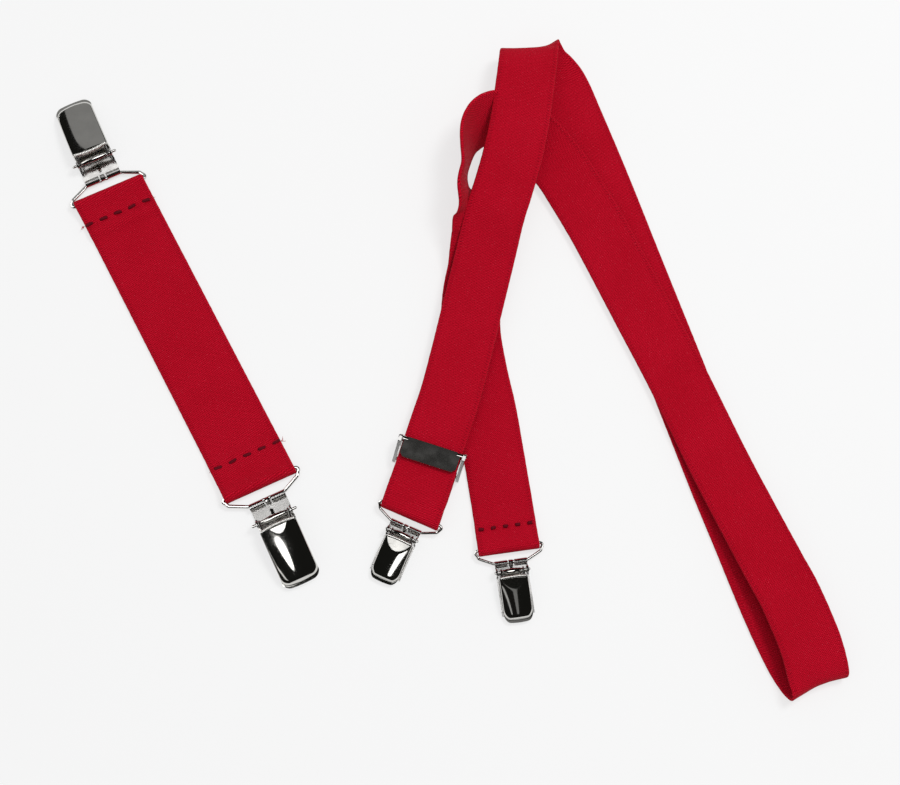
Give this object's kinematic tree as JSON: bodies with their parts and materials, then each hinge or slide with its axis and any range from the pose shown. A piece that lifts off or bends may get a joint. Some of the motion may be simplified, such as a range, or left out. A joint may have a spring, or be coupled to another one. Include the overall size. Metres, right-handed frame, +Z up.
{
  "type": "suspenders",
  "caption": "Clip-on elastic suspender straps: a short wide strap and a long narrow adjustable strap, with metal lever clips.",
  "frame": {"origin": "on the table under the middle of the whole layout", "axes": "+Z up from the table; +X along the layout's longer side; +Y up the layout, towards the long strap's top fold"},
  "size_m": [0.263, 0.2263, 0.0208],
  "materials": {
    "red_elastic": "fine diagonal twill, matt",
    "red_thread": "twisted sewing thread",
    "nickel_plate": "polished nickel plate",
    "bright_wire": "polished wire",
    "clear_pad": "moulded"
  },
  "bodies": {
    "long_strap": {"long_front_run": "red_elastic", "long_top_fold": "red_elastic", "long_under_run": "red_elastic", "long_corner_fold": "red_elastic", "long_middle_run": "red_elastic", "long_side_loop": "red_elastic", "long_end_run": "red_elastic", "loop_front_webbing": "red_elastic"},
    "long_end": {"long_hem_d": "red_elastic", "long_stitching_d": "red_thread"},
    "loop_end": {"loop_turn_webbing": "red_elastic"},
    "adjuster": {"adjuster_frame": "nickel_plate", "loop_sewn_end": "red_elastic", "loop_stitching": "red_thread", "loop_return_webbing": "red_elastic"},
    "adjuster_lever": {"adjuster_lever": "nickel_plate"},
    "short_strap": {"short_webbing": "red_elastic", "short_hem_a": "red_elastic", "short_stitching_a": "red_thread"},
    "short_end": {"short_hem_b": "red_elastic", "short_stitching_b": "red_thread"},
    "bail_a": {"bail_a": "bright_wire"},
    "clip_a": {"clip_base_a": "nickel_plate", "grip_pad_a": "clear_pad", "pivot_pin_a": "nickel_plate"},
    "lever_a": {"clip_lever_a": "nickel_plate"},
    "bail_b": {"bail_b": "bright_wire"},
    "clip_b": {"clip_base_b": "nickel_plate", "grip_pad_b": "clear_pad", "pivot_pin_b": "nickel_plate"},
    "lever_b": {"clip_lever_b": "nickel_plate"},
    "bail_c": {"bail_c": "bright_wire"},
    "clip_c": {"clip_base_c": "nickel_plate", "grip_pad_c": "clear_pad", "pivot_pin_c": "nickel_plate"},
    "lever_c": {"clip_lever_c": "nickel_plate"},
    "bail_d": {"bail_d": "bright_wire"},
    "clip_d": {"clip_base_d": "nickel_plate", "grip_pad_d": "clear_pad", "pivot_pin_d": "nickel_plate"},
    "lever_d": {"clip_lever_d": "nickel_plate"}
  },
  "joints": [
    {"name": "adjuster_slide", "type": "slide", "parent": "long_strap", "child": "adjuster", "axis": [0.309, 0.9511, 0], "range_m": [0, 0.015], "deforming": ["loop_return_webbing"]},
    {"name": "loop_follow", "type": "slide", "parent": "long_strap", "child": "loop_end", "axis": [0.309, 0.9511, 0], "range_m": [0, 0.0075], "deforming": ["loop_front_webbing"]},
    {"name": "adjuster_lever_turn", "type": "hinge", "parent": "adjuster", "child": "adjuster_lever", "pos_m": [-0.00064, -0.03005, 0.00635], "axis": [-0.9511, 0.309, 0], "range_deg": [0, 80]},
    {"name": "long_end_stretch", "type": "slide", "parent": "long_strap", "child": "long_end", "axis": [0.1392, -0.9903, 0], "range_m": [0, 0.02], "stiffness_N_per_m": 60, "deforming": ["long_end_run"]},
    {"name": "short_strap_lift", "type": "slide", "parent": "long_strap", "child": "short_strap", "axis": [0, 0, 1], "range_m": [0, 0.1]},
    {"name": "short_strap_stretch", "type": "slide", "parent": "short_strap", "child": "short_end", "axis": [0.4726, -0.8813, 0], "range_m": [0, 0.03], "stiffness_N_per_m": 60, "deforming": ["short_webbing"]},
    {"name": "bail_a_swing", "type": "hinge", "parent": "short_strap", "child": "bail_a", "pos_m": [-0.11141, 0.05884, 0.00215], "axis": [0.91, 0.4147, 0], "range_deg": [-30, 35]},
    {"name": "clip_a_swing", "type": "hinge", "parent": "bail_a", "child": "clip_a", "pos_m": [-0.11408, 0.06471, 0.00133], "axis": [0.91, 0.4147, 0], "range_deg": [-40, 35]},
    {"name": "lever_a_open", "type": "hinge", "parent": "clip_a", "child": "lever_a", "pos_m": [-0.11678, 0.07063, 0.0042], "axis": [0.91, 0.4147, 0], "range_deg": [0, 100]},
    {"name": "bail_b_swing", "type": "hinge", "parent": "short_end", "child": "bail_b", "pos_m": [-0.05744, -0.04124, 0.00215], "axis": [-0.9085, -0.4179, 0], "range_deg": [-30, 35]},
    {"name": "clip_b_swing", "type": "hinge", "parent": "bail_b", "child": "clip_b", "pos_m": [-0.05474, -0.0471, 0.00133], "axis": [-0.9085, -0.4179, 0], "range_deg": [-40, 35]},
    {"name": "lever_b_open", "type": "hinge", "parent": "clip_b", "child": "lever_b", "pos_m": [-0.05203, -0.053, 0.0042], "axis": [-0.9085, -0.4179, 0], "range_deg": [0, 100]},
    {"name": "bail_c_swing", "type": "hinge", "parent": "loop_end", "child": "bail_c", "pos_m": [-0.0076, -0.05167, 0.0036], "axis": [-0.9171, 0.3987, 0], "range_deg": [-30, 35]},
    {"name": "clip_c_swing", "type": "hinge", "parent": "bail_c", "child": "clip_c", "pos_m": [-0.00942, -0.05584, 0.00108], "axis": [-0.9171, 0.3987, 0], "range_deg": [-40, 35]},
    {"name": "lever_c_open", "type": "hinge", "parent": "clip_c", "child": "lever_c", "pos_m": [-0.01061, -0.05859, 0.003], "axis": [-0.9171, 0.3987, 0], "range_deg": [0, 100]},
    {"name": "bail_d_swing", "type": "hinge", "parent": "long_end", "child": "bail_d", "pos_m": [0.02402, -0.06232, 0.002], "axis": [-0.9903, -0.1392, 0], "range_deg": [-30, 35]},
    {"name": "clip_d_swing", "type": "hinge", "parent": "bail_d", "child": "clip_d", "pos_m": [0.02473, -0.06739, 0.00108], "axis": [-0.9903, -0.1392, 0], "range_deg": [-40, 35]},
    {"name": "lever_d_open", "type": "hinge", "parent": "clip_d", "child": "lever_d", "pos_m": [0.02515, -0.07036, 0.003], "axis": [-0.9903, -0.1392, 0], "range_deg": [0, 100]}
  ],
  "couplings": [
    {"joint": "loop_follow", "follows": "adjuster_slide", "ratio": 0.5}
  ]
}
